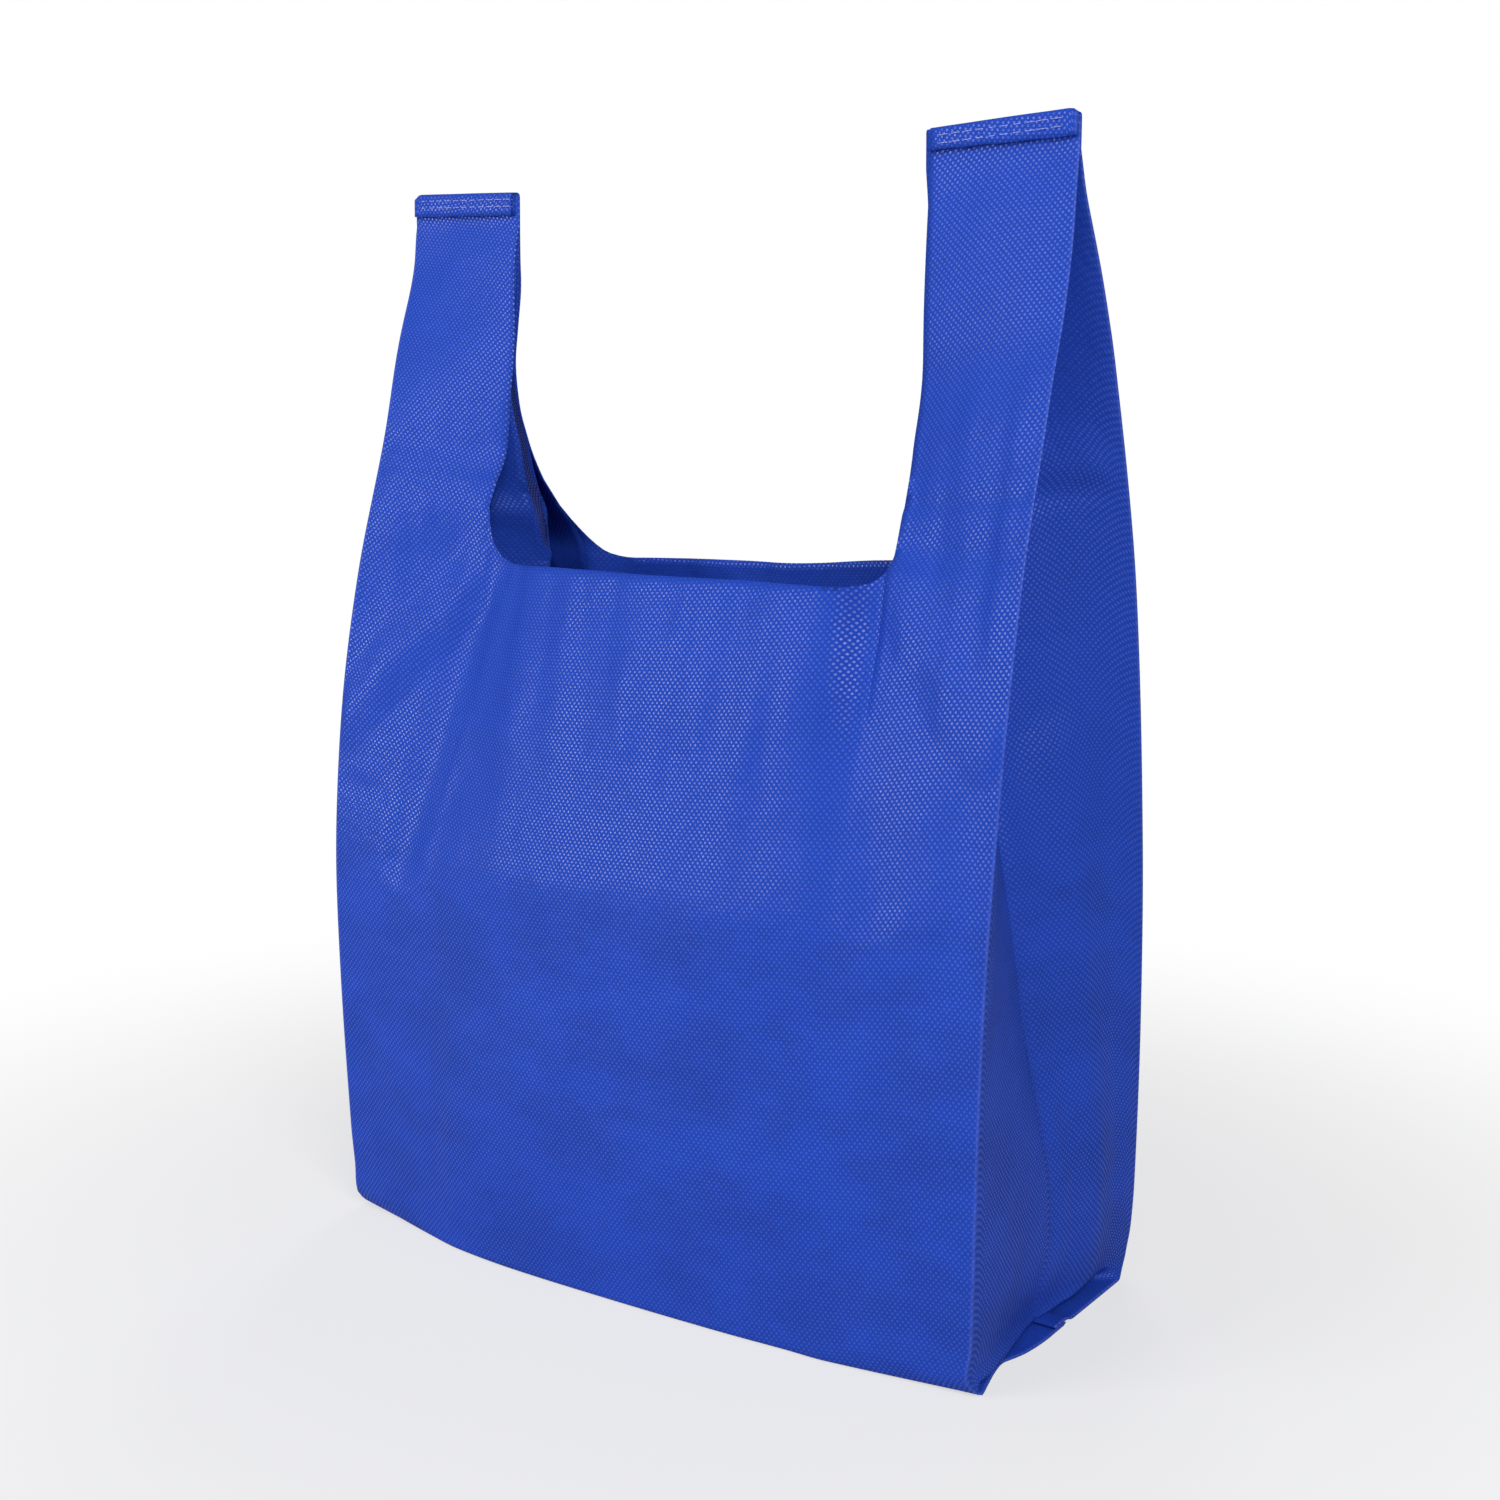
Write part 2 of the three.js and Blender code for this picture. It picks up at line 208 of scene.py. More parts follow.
def handleSway(side, across, z):
    # All the plies of a handle bend together. across is 0 at the crease and 1 at the cut edge.
    up = ease(318, 345, z)
    if side > 0:
        return up * (0.9 * math.sin(3.0 * across + z / 17.0) * (1 - ease(385, 404, z))
                     + 0.6 * wave(across * 57, z, 22, 30, 5))
    return up * (0.8 * math.sin(2.6 * across + z / 15.0 + 1.0) * (1 - ease(385, 404, z))
                 + 0.6 * wave(across * 57, z, 20, 28, 9))


def hemTilt(side, across, z):
    drop = 4.0 if side < 0 else 0.6
    return -drop * across * ease(335, 404, z)


def panelRelief(face, u, z):
    edge = bag["halfPanel"] - abs(u)
    still = ease(0, 9, edge) * (1 - ease(312, 340, z)) * ease(0, 12, z)
    mouth = ease(130, 250, z)
    pleats = 1.5 * wave(u, z, 15, 170, 3 + face) * mouth
    pleats += 0.7 * wave(u, z, 7, 90, 13 + face) * ease(190, 262, z)
    broad = 1.2 * wave(u, z, 42, 50, 21 + face) + 0.5 * wave(u, z, 18, 24, 27 + face)
    cockle = 0.22 * wave(u, z, 7, 8, 33 + face) + 0.1 * wave(u, z, 3.6, 4.4, 39 + face)
    kinkZ = 152 + 3.0 * wave(u, 0, 60, 1, 41 + face)
    away = (z - kinkZ) / (34 if z < kinkZ else 26)
    kink = 2.3 * max(1 - math.sqrt(away * away + 0.006), 0.0) * ease(0, 40, edge)
    folds = foldRelief(frontFolds if face < 0 else backFolds, u, z)
    return still * (pleats + broad + cockle + kink) + folds * ease(0, 4, edge) * (1 - ease(318, 345, z))


def panelPoint(face, u, z, plain=False):
    side = 1 if u > 0 else -1
    half = bag["halfPanel"]
    high = bag["mouthZ"]
    x = curveAt([[-half, curveAt(creaseX[-1], z)], [-strapU, curveAt(leftStrapX[face], z)],
                 [strapU, curveAt(rightStrapX, z)], [half, curveAt(creaseX[1], z)]], u)
    outer = curveAt(creaseDepth, z) - (4.0 * ease(7, 0, z) if face > 0 else 0.0)
    lines = panelLines[face]
    depths = [[-half, outer]]
    for where, points in lines.items():
        depths.append([where, curveAt(points, z if abs(where) == strapU else min(z, high))])
    depths.append([half, outer])
    depth = curveAt(depths, u)
    across = min(max((half - abs(u)) / bag["strap"], 0.0), 1.0)
    if z > high:
        inner = curveAt(lines[side * strapU], z)
        bow = 1.6 * (1 - ease(350, 400, z))
        strap = mix(outer, inner, across) + bow * 4 * across * (1 - across)
        depth = mix(depth, strap, ease(high, cornerZ, z))
    if not plain:
        depth += panelRelief(face, u, z)
    y = face * depth
    if abs(u) < strapU:
        z += curveAt(mouthSag[face], u) * ease(205, high, z) * (1 - ease(high, 290, z))
    if not plain and abs(u) > 60:
        y += handleSway(side, across, z)
        z += hemTilt(side, across, z)
    return Vector((x, y, z))


def valleyPoint(side, face, z):
    # The fold down the middle of a gusset.
    crease = panelPoint(face, side * bag["halfPanel"], z, plain=True)
    middleY = curveAt(valleyY[side], z)
    gap = curveAt(valleyGap[side], z)
    if z <= bag["mouthZ"]:
        depth = curveAt(tuck, z)
    else:
        depth = math.sqrt(bag["gusset"] ** 2 - (abs(crease.y) - gap) ** 2)
    depth += curveAt(extraTuck[side, face], z)
    return Vector((crease.x - side * depth, middleY + face * gap, z))


def gussetLift(face, distance):
    return curveAt(liftFront if face < 0 else liftBack, distance)


def gussetPoint(side, face, distance, z):
    # distance is from the crease, across half of the gusset.
    crease = panelPoint(face, side * bag["halfPanel"], z, plain=True)
    across = distance / bag["gusset"]
    point = crease.lerp(valleyPoint(side, face, z), across)
    point.y -= face * bag["plyGap"] * min(1, distance / 3) * (1 - across) * ease(402, 385, z)
    w = distance if face < 0 else 2 * bag["gusset"] - distance
    still = ease(0, 10, distance) * (1 - ease(300, 335, z))
    slack = 1.0 * wave(w, z, 30, 42, 51 + side) + 0.45 * wave(w, z, 13, 17, 57 + side)
    slack += 0.2 * wave(w, z, 6, 7, 61 + side)
    keep = mix(1.0, ease(2, 18, bag["gusset"] - distance), ease(180, 264, z))
    relief = still * slack * keep
    if side > 0:
        relief += foldRelief(gussetFolds, w, z) * ease(0, 14, distance) * keep
    else:
        relief += foldRelief(gussetFolds, 130 - w, z + 6) * ease(0, 14, distance) * keep
    point.x += side * relief * (1 - ease(310, 335, z))
    cut = min(distance / bag["strap"], 1.0)
    point.y += handleSway(side, cut, z)
    point.z += hemTilt(side, cut, z)
    return point


hemMiddle = -2 * bag["hemGap"]  # what the hem's plies turn about
hemRadius = 1.5 * bag["hemGap"] - hemMiddle  # of the outermost ply's turn


def hemPath(offset, length):
    # Up to the fold, over it to the front and down again, for a ply at offset from the middle.
    radius = offset - hemMiddle
    turnZ = bag["topZ"] - hemRadius - bag["ply"] / 2
    rise = turnZ - bag["strapTop"]
    if length <= rise:
        return offset, bag["strapTop"] + length
    arc = length - rise
    if arc <= math.pi * radius:
        angle = arc / radius
        return hemMiddle + radius * math.cos(angle), turnZ + radius * math.sin(angle)
    return hemMiddle - radius, turnZ - (arc - math.pi * radius)


hemRows = [0.25, 0.5, 0.75, 1.0, 1.2, 1.4, 1.6, 1.8, 2.0, 2.35, 2.7, 3.0]


def hemColumn(side, offset, across, x):
    # Rows of one column of the hem. 0 to 1 is the rise, 1 to 2 the turn and 2 to 3 the way down.
    radius = offset - hemMiddle
    turnZ = bag["topZ"] - hemRadius - bag["ply"] / 2
    rise = turnZ - bag["strapTop"]
    rag = 0.35 * wave(across * 57, 0, 5, 1, 71 + side) + 0.25 * offset
    down = turnZ - (bag["topZ"] - bag["hemDrop"]) + rag
    if side > 0:
        down -= 1.6 * across
    points = []
    for row in hemRows:
        if row <= 1:
            length = rise * row
        elif row <= 2:
            length = rise + math.pi * radius * (row - 1)
        else:
            length = rise + math.pi * radius + down * (row - 2)
        y, z = hemPath(offset, length)
        front = ease(1.2, 2.0, row)
        inset = front * (1.4 if side > 0 else 2.2) * ease(0.9, 1.0, across)
        inset += front * 0.5 * ease(0.1, 0.0, across)
        squash = (1 if across > 0.5 else -1) * side * inset
        pucker = 0.16 * wave(x, 0, 4, 1, 77) * (1 if row > 1.6 else 0.3)
        chamfer = 1.3 * ease(0.05, 0.0, across) * ease(0.6, 1.0, row) * (1 - ease(2.0, 2.6, row))
        points.append(Vector((x + squash, y - pucker * front + handleSway(side, across, z),
                              z - chamfer + hemTilt(side, across, bag["topZ"]))))
    return points


def baseHeights(ply, u):
    # Height of a ply in the base next to the seam, and of its end in the seam.
    doubled = ease(valleyU - 4, valleyU + 3, abs(u))
    if ply == 0:
        return 0.2, 0.2
    if ply == 1:
        return 0.58, 0.58
    if ply == 2:
        return 2.1, 0.96
    return mix(0.96, 1.72, doubled), mix(0.58, 1.34, doubled)


def seamRows(ply, u, x):
    # The welded end of a ply under the base, then the turn into the base.
    near, end = baseHeights(ply, u)
    front = ply < 2
    x -= 0.3 * ease(118, 150, abs(u)) * (1 if x > 0 else -1)
    ends = {1: 0.77, 2: 0.77}
    doubled = ease(valleyU - 4, valleyU + 3, abs(u))
    tipY = bag["seam"] + (0.6 if ply in (0, 3) else 0.0)
    tipZ = ends[ply] if ply in ends else mix(0.39, 0.77, doubled)
    points = [Vector((x, tipY, tipZ)), Vector((x, bag["seam"] - 1.2, end)), Vector((x, 3.0, end)),
              Vector((x, 0.6, end))]
    if front:
        points.append(Vector((x, -0.4, near)))
        points.append(Vector((x, -1.6, near)))
    else:
        radius = (near - end) / 2
        points.append(Vector((x, 0.3 - radius, (near + end) / 2)))
        points.append(Vector((x, 0.6, near)))
    return points


def lipInset(side, face, away):
    return curveAt(lipFront if side > 0 and face < 0 else lipBack, away)


def panelBase(face, u):
    # From the seam under the base out to the foot of the panel.
    foot = panelPoint(face, u, 0)
    side = 1 if u > 0 else -1
    ply = 0 if face < 0 else 3
    near, _ = baseHeights(ply, u)
    first = 1.6 if face < 0 else 0.6
    reach = abs(foot.y)
    rows = round(bag["halfPanel"] / bag["cell"] / 2)
    points = seamRows(ply, u, foot.x)
    for k in range(1, rows):
        away = first + (reach - 1.4 - first) * k / (rows - 1)
        drop = 0.0 if face < 0 else (near - 0.2) * (1 - ease(7.4, 13, away))
        inward = lipInset(side, face, away) * ease(118, 150, abs(u))
        points.append(Vector((foot.x - side * inward, face * away, 0.2 + drop)))
    points.append(Vector((foot.x, face * (reach - 0.42), 0.62)))
    return points


def gussetBase(side, face, distance):
    # Next to the seam a gusset lies on the base, then doubles back to its lower edge.
    ply = 1 if face < 0 else 2
    u = bag["halfPanel"] - distance
    foot = panelPoint(face, side * bag["halfPanel"], 0)
    reach = abs(foot.y)
    edge = gussetPoint(side, face, distance, gussetLift(face, distance) + 0.5)
    x = foot.x - side * distance
    near, _ = baseHeights(ply, u)
    first = 1.6 if face < 0 else 0.6
    rows = round(bag["halfPanel"] / bag["cell"] / 2)
    points = seamRows(ply, u, x)
    turn = reach * (1 - distance / bag["gusset"])
    turnZ = mix(0.6, 0.8 if face < 0 else 2.3, distance / bag["gusset"])
    for k in range(1, rows + 1):
        away = first + (reach - first) * k / rows
        if away <= turn:
            drop = 0.0 if face < 0 else (near - 0.58) * (1 - ease(7.4, 13, away))
            rise = (turnZ - 0.58) * ease(turn - 6, turn, away)
            inward = lipInset(side, face, away) * ease(34, 2, distance)
            points.append(Vector((x - side * inward, face * away, 0.58 + max(drop, rise))))
        else:
            flap = (away - turn) / max(reach - turn, 0.001)
            start = Vector((x, face * max(turn, first), turnZ))
            point = start.lerp(edge, flap)
            point.x -= side * 1.5 * math.sin(math.pi * flap) * distance / bag["gusset"]
            points.append(point)
    return points


def wallHeights(u, sharp=3.0):
    # Heights of a column's rows, up to the mouth or to the top of a handle.
    high = bag["mouthZ"]
    count = round(high / bag["cell"])
    heights = [1.4] + [z for z in (high * k / count for k in range(count + 1)) if z > 2.0]
    if abs(u) <= strapU - bag["cornerWidth"]:
        return heights
    cornerRows = round(bag["cornerHeight"] / bag["cell"]) + 2
    heights += [high + cutHeight(u, sharp) * k / cornerRows for k in range(1, cornerRows + 1)]
    if abs(u) < strapU - 0.001:
        return heights
    strapRows = round((bag["strapTop"] - cornerZ) / bag["cell"])
    return heights + [mix(cornerZ, bag["strapTop"], k / strapRows) for k in range(1, strapRows + 1)]


def columnPlaces():
    # Columns across half of a panel, from the middle out, finer at the corner and the crease.
    flat = strapU - bag["cornerWidth"]
    count = round(flat / bag["cell"])
    places = [flat * k / count for k in range(count)]
    turns = 11
    places += [strapU - bag["cornerWidth"] * (1 - math.sin(math.pi / 2 * k / turns)) for k in range(turns)]
    count = round((bag["strap"] - 4) / bag["cell"])
    places += [strapU + (bag["strap"] - 4) * k / count for k in range(count + 1)]
    return places + [bag["halfPanel"] - 2.2, bag["halfPanel"] - 1, bag["halfPanel"] - 0.4]


def gussetPlaces():
    # Distances from the crease, over to the fold in the middle of the gusset.
    count = round((bag["strap"] - 4) / bag["cell"])
    places = [0.4, 1.0, 2.2] + [4 + (bag["strap"] - 4) * k / count for k in range(count + 1)]
    return places + [bag["strap"] + 8 * k / 5 for k in range(1, 5)] + [bag["gusset"] - 0.6, bag["gusset"]]


def panelColumn(face, u):
    side = 1 if u > 0 else -1
    across = min((bag["halfPanel"] - abs(u)) / bag["strap"], 1.0)
    sharp = 6.0 if face < 0 and u > 0 else 3.0
    points = panelBase(face, u) + [panelPoint(face, u, z) for z in wallHeights(u, sharp)]
    if abs(u) >= strapU - 0.001:
        offset = face * bag["hemGap"] * mix(1, 1.5, min(1, (bag["halfPanel"] - abs(u)) / 3))
        points += hemColumn(side, offset, across, points[-1].x)
    return points


def gussetColumn(side, face, distance):
    u = bag["halfPanel"] - distance
    lift = gussetLift(face, distance)
    points = gussetBase(side, face, distance)
    points += [gussetPoint(side, face, distance, z + lift * max(0, 1 - z / 84)) for z in wallHeights(u)]
    if distance <= bag["strap"] + 0.001:
        offset = face * bag["hemGap"] * mix(1, 0.5, min(1, distance / 3))
        points += hemColumn(side, offset, min(distance / bag["strap"], 1), points[-1].x)
    return points


def flatHeights(column):
    # Height of each row on the flat cloth.
    heights = [0.0]
    for before, after in zip(column, column[1:]):
        heights.append(heights[-1] + (after - before).length)
    return heights


def ringColumns():
    half = columnPlaces()
    panel = [-u for u in reversed(half[1:])] + half
    inner = gussetPlaces()
    width, depth = 2 * bag["halfPanel"], 2 * bag["gusset"]
    columns = [(0.0, panelColumn(-1, -bag["halfPanel"]))]
    columns += [(bag["halfPanel"] + u, panelColumn(-1, u)) for u in panel]
    columns.append((width, panelColumn(-1, bag["halfPanel"])))
    columns += [(width + d, gussetColumn(1, -1, d)) for d in inner]
    columns += [(width + depth - d, gussetColumn(1, 1, d)) for d in reversed(inner[:-1])]
    start = width + depth
    columns.append((start, panelColumn(1, bag["halfPanel"])))
    columns += [(start + bag["halfPanel"] - u, panelColumn(1, u)) for u in reversed(panel)]
    columns.append((start + width, panelColumn(1, -bag["halfPanel"])))
    start += width
    columns += [(start + d, gussetColumn(-1, 1, d)) for d in inner]
    columns += [(start + depth - d, gussetColumn(-1, -1, d)) for d in reversed(inner[:-1])]
    return columns


def clothMesh():
    # Columns of points round the whole tube, joined into faces. Handles' columns reach higher.
    columns = ringColumns()
    ring = 2 * (2 * bag["halfPanel"] + 2 * bag["gusset"])
    known, points, indices, heights = {}, [], [], []
    for _, column in columns:
        row = []
        for point in column:
            key = tuple(round(value, 3) for value in point)
            if key not in known:
                known[key] = len(points)
                points.append(((point.x + bag["shiftX"]) / 1000, point.y / 1000, point.z / 1000))
            row.append(known[key])
        indices.append(row)
        heights.append(flatHeights(column))
    faces, corners = [], []
    for c in range(len(columns)):
        d = (c + 1) % len(columns)
        s0 = columns[c][0]
        s1 = columns[d][0] if d else ring
        left, right = indices[c], indices[d]
        for r in range(min(len(left), len(right)) - 1):
            places = [(left[r], s0, heights[c][r]), (right[r], s1, heights[d][r]),
                      (right[r + 1], s1, heights[d][r + 1]), (left[r + 1], s0, heights[c][r + 1])]
            kept = []
            for place in places:
                if place[0] not in [other[0] for other in kept]:
                    kept.append(place)
            if len(kept) > 2:
                faces.append([place[0] for place in kept])
                corners += [(place[1] / 1000, place[2] / 1000) for place in kept]
    mesh = bpy.data.meshes.new("bag_cloth")
    mesh.from_pydata(points, [], faces)
    layer = mesh.uv_layers.new(name="cloth")
    for loop, corner in zip(layer.data, corners):
        loop.uv = corner
    mesh.shade_smooth()
    return mesh


def addObject(mesh, name, material):
    obj = bpy.data.objects.new(name, mesh)
    bpy.context.scene.collection.objects.link(obj)
    mesh.materials.clear()
    mesh.materials.append(material)
    return obj


def applyModifiers(obj):
    # The object's evaluated shape as a plain mesh, with its modifiers gone.
    evaluated = obj.evaluated_get(bpy.context.evaluated_depsgraph_get())
    mesh = bpy.data.meshes.new_from_object(evaluated)
    mesh.name = obj.name
    obj.modifiers.clear()
    obj.data = mesh
    return obj


def color(red, green, blue):
    # From a 0 to 255 colour to a linear one.
    parts = [value / 255 for value in (red, green, blue)]
    return [part / 12.92 if part <= 0.04045 else ((part + 0.055) / 1.055) ** 2.4 for part in parts] + [1.0]


class Nodes:
    # A short way to make nodes and link them.
    def __init__(self, tree):
        self.tree = tree

    def add(self, kind, inputs=None, **settings):
        node = self.tree.nodes.new(kind)
        for key, value in settings.items():
            setattr(node, key, value)
        for key, value in (inputs or {}).items():
            if isinstance(value, bpy.types.NodeSocket):
                self.tree.links.new(value, node.inputs[key])
            else:
                node.inputs[key].default_value = value
        return node

    def math(self, operation, a, b=0.0, clamp=False):
        return self.add("ShaderNodeMath", {0: a, 1: b}, operation=operation, use_clamp=clamp).outputs[0]

    def vector(self, operation, a, b=(0.0, 0.0, 0.0)):
        return self.add("ShaderNodeVectorMath", {0: a, 1: b}, operation=operation).outputs[0]

    def step(self, value, low, high, start=0.0, end=1.0):
        node = self.add("ShaderNodeMapRange", {"Value": value, "From Min": low, "From Max": high,
                                               "To Min": start, "To Max": end})
        node.interpolation_type = "SMOOTHSTEP"
        return node.outputs["Result"]

    def noise(self, place, scale, detail=2.0, rough=0.5):
        node = self.add("ShaderNodeTexNoise", {"Vector": place, "Scale": scale, "Detail": detail,
                                               "Roughness": rough})
        return node.outputs["Fac"]

    def blend(self, factor, a, b, kind="MIX"):
        node = self.add("ShaderNodeMix", data_type="RGBA", blend_type=kind)
        for key, value in ((0, factor), (6, a), (7, b)):
            if isinstance(value, bpy.types.NodeSocket):
                self.tree.links.new(value, node.inputs[key])
            else:
                node.inputs[key].default_value = value
        return node.outputs[2]


clothLook = {
    "base": color(35, 77, 193),
    "dark": color(23, 64, 178),
    "dot": color(38, 80, 196),
    # Lighter colour along the creases: partly a whitened fold, partly a painted highlight.
    "crease": color(84, 108, 212),
    "cellAcross": 2.06,  # one cell of the embossed pattern holds two staggered dots
    "cellUp": 2.4,
    "dotRadius": 0.44,
    "lines": (0.0, 304.0, 434.0, 738.0, 868.0),  # creases round the flat cloth, lightened: partly whitened folds, partly a painted highlight
    "roughness": 0.86,
    "dotRoughness": 0.6,
    "gloss": 0.34,  # roughness of the glossy coat on the dots
}


def clothMaterial():
    material = bpy.data.materials.new("nonwoven_cloth")
    material.use_nodes = True
    tree = material.node_tree
    tree.nodes.clear()
    n = Nodes(tree)
    uv = n.add("ShaderNodeUVMap", uv_map="cloth").outputs[0]
    place = n.vector("MULTIPLY", uv, (1000, 1000, 1000))
    cell = (clothLook["cellAcross"], clothLook["cellUp"], 1.0)
    grid = n.vector("MULTIPLY", place, (1 / cell[0], 1 / cell[1], 0))

    def toDot(shift):
        moved = n.vector("FRACTION", n.vector("ADD", grid, (shift, shift, 0)))
        away = n.vector("MULTIPLY", n.vector("SUBTRACT", moved, (0.5, 0.5, 0)), cell)
        return n.add("ShaderNodeVectorMath", {0: away}, operation="LENGTH").outputs["Value"]

    distance = n.math("MINIMUM", toDot(0.0), toDot(0.5))
    radius = clothLook["dotRadius"]
    dots = n.step(distance, radius + 0.1, radius - 0.12)
    fibre = n.noise(n.vector("MULTIPLY", place, (1.6, 3.4, 1)), 1.0, 4.0, 0.65)
    patch = n.noise(n.vector("MULTIPLY", place, (0.75, 1.3, 1)), 0.03, 4.0, 0.62)
    cloud = n.noise(place, 0.45, 2.0, 0.6)
    body = n.blend(n.step(fibre, 0.3, 0.72), clothLook["dark"], clothLook["base"])
    body = n.blend(n.math("MULTIPLY", dots, 0.5), body, clothLook["dot"])
    up = n.add("ShaderNodeSeparateXYZ", {0: place}).outputs[1]
    lower = n.step(up, 236, 216, 0.25, 1.0)
    mottle = n.math("MULTIPLY", n.step(patch, 0.3, 0.7, -0.11, 0.09), lower)
    shade = n.math("ADD", n.math("ADD", mottle, 0.98), n.step(cloud, 0.3, 0.7, -0.035, 0.035))
    tint = n.add("ShaderNodeCombineColor", {0: shade, 1: shade, 2: shade}).outputs[0]
    body = n.blend(1.0, body, tint, "MULTIPLY")

    across = n.add("ShaderNodeSeparateXYZ", {0: place}).outputs[0]
    # Lighter lines along the creases, uneven along their length: partly whitened folds, partly a painted
    # highlight.
    lines = None
    for where in clothLook["lines"]:
        line = n.step(n.math("ABSOLUTE", n.math("SUBTRACT", across, where)), 1.1, 0.3)
        lines = line if lines is None else n.math("MAXIMUM", lines, line)
    creaseWearAndHighlight = n.math("MULTIPLY", lines, n.step(cloud, 0.25, 0.6, 0.12, 0.4))
    body = n.blend(creaseWearAndHighlight, body, clothLook["crease"])

    roughness = n.math("ADD", n.math("MULTIPLY", dots, clothLook["dotRoughness"] - clothLook["roughness"]),
                       n.step(fibre, 0.3, 0.7, clothLook["roughness"] - 0.06, clothLook["roughness"] + 0.06))
    height = n.math("ADD", n.math("MULTIPLY", dots, -0.035), n.math("MULTIPLY", fibre, 0.06))
    height = n.math("ADD", height, n.math("MULTIPLY", cloud, 0.1))
    height = n.math("ADD", height, n.math("MULTIPLY", n.noise(place, 0.2, 2.0), 0.35))
    bump = n.add("ShaderNodeBump", {"Strength": 0.8, "Distance": 0.001, "Height": height}).outputs[0]
    shader = n.add("ShaderNodeBsdfPrincipled", {"Base Color": body, "Roughness": roughness, "Normal": bump})
    shader.inputs["IOR"].default_value = 1.49
    shader.inputs["Specular IOR Level"].default_value = 0.2
    n.tree.links.new(n.math("MULTIPLY", dots, 0.85), shader.inputs["Coat Weight"])
    shader.inputs["Coat Roughness"].default_value = clothLook["gloss"]
    shader.inputs["Coat IOR"].default_value = 1.65
    n.tree.links.new(bump, shader.inputs["Coat Normal"])
    through = n.add("ShaderNodeBsdfTranslucent", {"Color": body, "Normal": bump})
    both = n.add("ShaderNodeMixShader", {0: 0.16, 1: shader.outputs[0], 2: through.outputs[0]})
    out = n.add("ShaderNodeOutputMaterial", {"Surface": both.outputs[0]})
    out.is_active_output = True
    return material


cloth = clothMaterial()
body = addObject(clothMesh(), "bag_cloth", cloth)
solidify = body.modifiers.new("ply", "SOLIDIFY")
solidify.thickness = bag["ply"] / 1000
solidify.offset = 0
solidify.use_even_offset = False
applyModifiers(body)
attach(body, "root")
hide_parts("bag_body")
print("cloth:", len(body.data.vertices), "vertices,", len(body.data.loop_triangles), "triangles")

stitch = {
    "pitch": 4.6,
    "margin": 2.6,
    "rows": {"upper": 3.0, "lower": 5.7},
    "radius": 0.2,
    "rise": 0.16,  # how far a stitch stands off the cloth
    "dip": 1.3,  # how far the thread dives at a needle hole
    "steps": 14,  # points along one stitch
    "color": color(140, 152, 222),
    "grooveShade": color(96, 112, 200),  # painted shade between the thread's strands
}


def threadMaterial():
    material = bpy.data.materials.new("sewing_thread")
    material.use_nodes = True
    n = Nodes(material.node_tree)
    shader = material.node_tree.nodes["Principled BSDF"]
    coordinates = n.add("ShaderNodeTexCoord").outputs["Object"]
    twist = n.add("ShaderNodeTexWave", {"Vector": coordinates, "Scale": 420.0, "Distortion": 1.5,
                                        "Detail": 1.0}, bands_direction="DIAGONAL").outputs["Fac"]
    # The grooves between the strands are darker: painted shade.
    shade = n.blend(n.step(twist, 0.1, 0.6), stitch["grooveShade"], stitch["color"])
    n.tree.links.new(shade, shader.inputs["Base Color"])
    bump = n.add("ShaderNodeBump", {"Strength": 0.6, "Distance": 0.00008, "Height": twist}).outputs[0]
    n.tree.links.new(bump, shader.inputs["Normal"])
    shader.inputs["Roughness"].default_value = 0.5
    shader.inputs["Sheen Weight"].default_value = 0.2
    return material


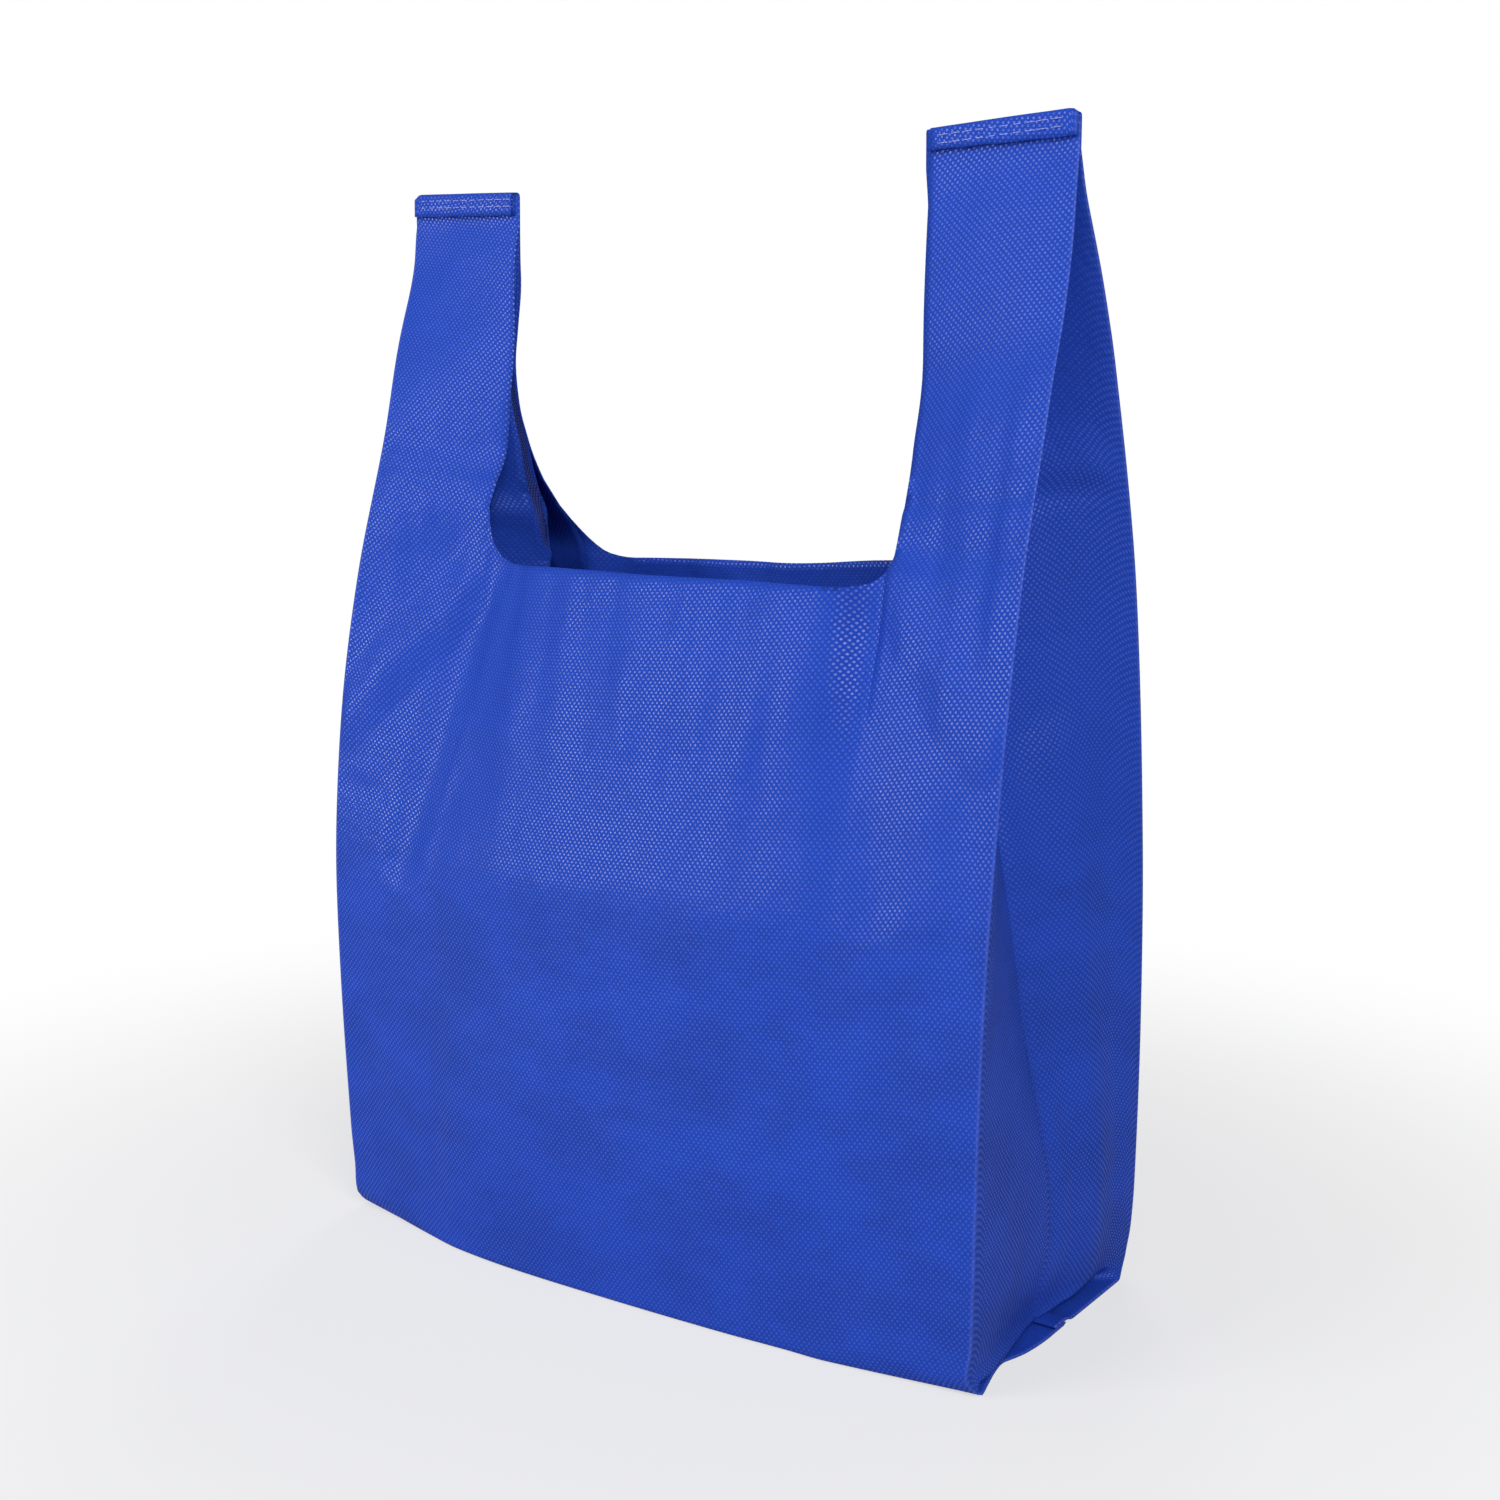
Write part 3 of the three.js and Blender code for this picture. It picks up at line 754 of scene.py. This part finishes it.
def threadTree(material):
    # A line of points that dives at each needle hole, swept with a round thread.
    tree = bpy.data.node_groups.new("stitched_thread", "GeometryNodeTree")
    tree.interface.new_socket("Geometry", in_out="INPUT", socket_type="NodeSocketGeometry")
    for name, value in (("Start", 0.0), ("Pitch", 0.0046), ("Stitches", 10), ("Steps", 14),
                        ("Radius", 0.00024), ("Rise", 0.0002), ("Dip", 0.0009), ("Slope", 0.0),
                        ("Face", 1.0), ("Surface", 0.0), ("Height", 0.4)):
        kind = "NodeSocketInt" if isinstance(value, int) else "NodeSocketFloat"
        socket = tree.interface.new_socket(name, in_out="INPUT", socket_type=kind)
        socket.default_value = value
    tree.interface.new_socket("Geometry", in_out="OUTPUT", socket_type="NodeSocketGeometry")
    n = Nodes(tree)
    given = n.add("NodeGroupInput").outputs
    count = n.math("ADD", n.math("MULTIPLY", given["Stitches"], given["Steps"]), 1.0)
    line = n.add("GeometryNodeMeshLine", {"Count": count, "Start Location": (0, 0, 0), "Offset": (0, 0, 0)})
    index = n.add("GeometryNodeInputIndex").outputs[0]
    turns = n.math("DIVIDE", index, given["Steps"])
    x = n.math("ADD", given["Start"], n.math("MULTIPLY", turns, given["Pitch"]))
    along = n.math("FRACT", turns)
    toHole = n.math("MINIMUM", along, n.math("SUBTRACT", 1.0, along))
    near = n.math("SUBTRACT", 1.0, n.math("DIVIDE", toHole, 0.26), clamp=True)
    dive = n.math("MULTIPLY", n.math("MULTIPLY", near, near), given["Dip"])
    lift = n.math("MULTIPLY", n.math("SINE", n.math("MULTIPLY", along, math.pi)), given["Rise"])
    off = n.math("MULTIPLY", given["Face"], n.math("SUBTRACT", lift, dive))
    y = n.math("ADD", given["Surface"], off)
    climb = n.math("MULTIPLY", n.math("SUBTRACT", x, given["Start"]), given["Slope"])
    z = n.math("ADD", given["Height"], climb)
    spot = n.add("ShaderNodeCombineXYZ", {0: x, 1: y, 2: z}).outputs[0]
    placed = n.add("GeometryNodeSetPosition", {"Geometry": line.outputs[0], "Position": spot})
    curve = n.add("GeometryNodeMeshToCurve", {"Mesh": placed.outputs[0]})
    ring = n.add("GeometryNodeCurvePrimitiveCircle", {"Resolution": 8, "Radius": given["Radius"]})
    swept = n.add("GeometryNodeCurveToMesh", {"Curve": curve.outputs[0], "Profile Curve": ring.outputs[0],
                                              "Fill Caps": True})
    smooth = n.add("GeometryNodeSetShadeSmooth", {"Geometry": swept.outputs[0]})
    real = n.add("GeometryNodeRealizeInstances", {"Geometry": smooth.outputs[0]})
    painted = n.add("GeometryNodeSetMaterial", {"Geometry": real.outputs[0], "Material": material})
    n.add("NodeGroupOutput", {"Geometry": painted.outputs[0]})
    return tree


def makeThread(name, side, row, face, tree, material):
    inner = curveAt(rightStrapX if side > 0 else leftStrapX[-1], 412)
    ends = sorted([inner, curveAt(creaseX[side], 412)])
    start, end = ends[0] + bag["shiftX"] + 0.8, ends[1] + bag["shiftX"] - 0.8
    count = int((end - start - 2 * stitch["margin"]) / stitch["pitch"])
    first = (start + end - count * stitch["pitch"]) / 2
    crease = end if side > 0 else start
    drop = 4.0 if side < 0 else 0.6
    slope = (drop if side > 0 else -drop) / bag["strap"]
    height = bag["topZ"] - row - slope * (crease - first)
    surface = hemMiddle - hemRadius - bag["ply"] / 2 if face < 0 else 1.5 * bag["hemGap"] + bag["ply"] / 2
    sizes = {"Start": first / 1000, "Pitch": stitch["pitch"] / 1000, "Stitches": count,
             "Steps": stitch["steps"], "Radius": stitch["radius"] / 1000, "Rise": stitch["rise"] / 1000,
             "Dip": stitch["dip"] / 1000, "Slope": slope, "Face": float(face),
             "Surface": surface / 1000, "Height": height / 1000}
    obj = addObject(bpy.data.meshes.new(name), name, material)
    modifier = obj.modifiers.new("stitches", "NODES")
    modifier.node_group = tree
    for socket in tree.interface.items_tree:
        if socket.in_out == "INPUT" and socket.name in sizes:
            modifier[socket.identifier] = sizes[socket.name]
    applyModifiers(obj)
    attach(obj, "root")
    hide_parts(name)


thread = threadMaterial()
threadNodes = threadTree(thread)
for sideName, side in (("left", -1), ("right", 1)):
    for rowName, row in stitch["rows"].items():
        makeThread(f"{sideName}_{rowName}_needle_thread", side, row, -1, threadNodes, thread)
        makeThread(f"{sideName}_{rowName}_bobbin_thread", side, row, 1, threadNodes, thread)
print("threads made")

studio = {
    "floor": color(206, 206, 210),
    "world": 0.24,
    "lens": 43.78,
    "camera": (0.4144, -0.557, 0.2913),
    "turn": (82.07, 0.0, 35.48),  # of the camera, in degrees
    # Each light is [place, watts, size].
    "key": [(-1.2, -1.48, 0.58), 12.0, 0.34],
    "front": [(-0.4, -1.05, 1.0), 4.6, 0.4],
    "fill": [(1.25, -0.95, 1.2), 22.0, 0.8],
    "back": [(-0.7, 1.5, 0.9), 9.0, 0.7],
}


def floorMesh():
    size = 6.0
    mesh = bpy.data.meshes.new("studio_floor")
    mesh.from_pydata([(-size, -size, -0.0002), (size, -size, -0.0002), (size, size, -0.0002),
                      (-size, size, -0.0002)], [], [(0, 1, 2, 3)])
    return mesh


def floorMaterial():
    # The floor keeps the shadow near the bag and fades to plain white further out.
    material = bpy.data.materials.new("studio_floor")
    material.use_nodes = True
    n = Nodes(material.node_tree)
    shader = material.node_tree.nodes["Principled BSDF"]
    shader.inputs["Base Color"].default_value = studio["floor"]
    shader.inputs["Roughness"].default_value = 0.9
    shader.inputs["Specular IOR Level"].default_value = 0.2
    place = n.add("ShaderNodeTexCoord").outputs["Object"]
    away = n.add("ShaderNodeVectorMath", {0: place}, operation="LENGTH").outputs["Value"]
    seen = n.add("ShaderNodeLightPath").outputs["Is Camera Ray"]
    white = n.add("ShaderNodeEmission", {"Color": (1.0, 1.0, 1.0, 1.0)})
    factor = n.math("MULTIPLY", n.step(away, 0.16, 0.6, 0.62, 1.0), seen)
    both = n.add("ShaderNodeMixShader", {0: factor, 1: shader.outputs[0], 2: white.outputs[0]})
    n.tree.links.new(both.outputs[0], n.tree.nodes["Material Output"].inputs["Surface"])
    return material


def areaLight(name, place, watts, size):
    data = bpy.data.lights.new(name, "AREA")
    data.energy = watts
    data.size = size
    obj = bpy.data.objects.new(name, data)
    bpy.context.scene.collection.objects.link(obj)
    obj.location = place
    aim = Vector((0, 0, 0.2)) - Vector(place)
    obj.rotation_euler = aim.to_track_quat("-Z", "Y").to_euler()


def makeWorld(scene):
    # White behind the bag, and dimmer as a light.
    world = bpy.data.worlds.new("studio")
    scene.world = world
    world.use_nodes = True
    n = Nodes(world.node_tree)
    background = world.node_tree.nodes["Background"]
    background.inputs["Color"].default_value = (1.0, 1.0, 1.0, 1.0)
    seen = n.add("ShaderNodeLightPath").outputs["Is Camera Ray"]
    level = n.add("ShaderNodeMapRange", {"Value": seen, "To Min": studio["world"]})
    n.tree.links.new(level.outputs["Result"], background.inputs["Strength"])


def makeCamera(scene):
    camera = bpy.data.cameras.new("camera")
    camera.lens = studio["lens"]
    camera.sensor_width = 36.0
    camera.clip_start = 0.01
    obj = bpy.data.objects.new("camera", camera)
    obj.location = studio["camera"]
    obj.rotation_euler = [math.radians(angle) for angle in studio["turn"]]
    scene.collection.objects.link(obj)
    scene.camera = obj


addObject(floorMesh(), "studio_floor", floorMaterial())
for name in ("key", "front", "fill", "back"):
    areaLight(name, *studio[name])
makeWorld(bpy.context.scene)
makeCamera(bpy.context.scene)
bpy.context.scene.view_settings.view_transform = "Standard"
print("studio ready")


def plain(bounds):
    return [[float(value) for value in corner] for corner in bounds]
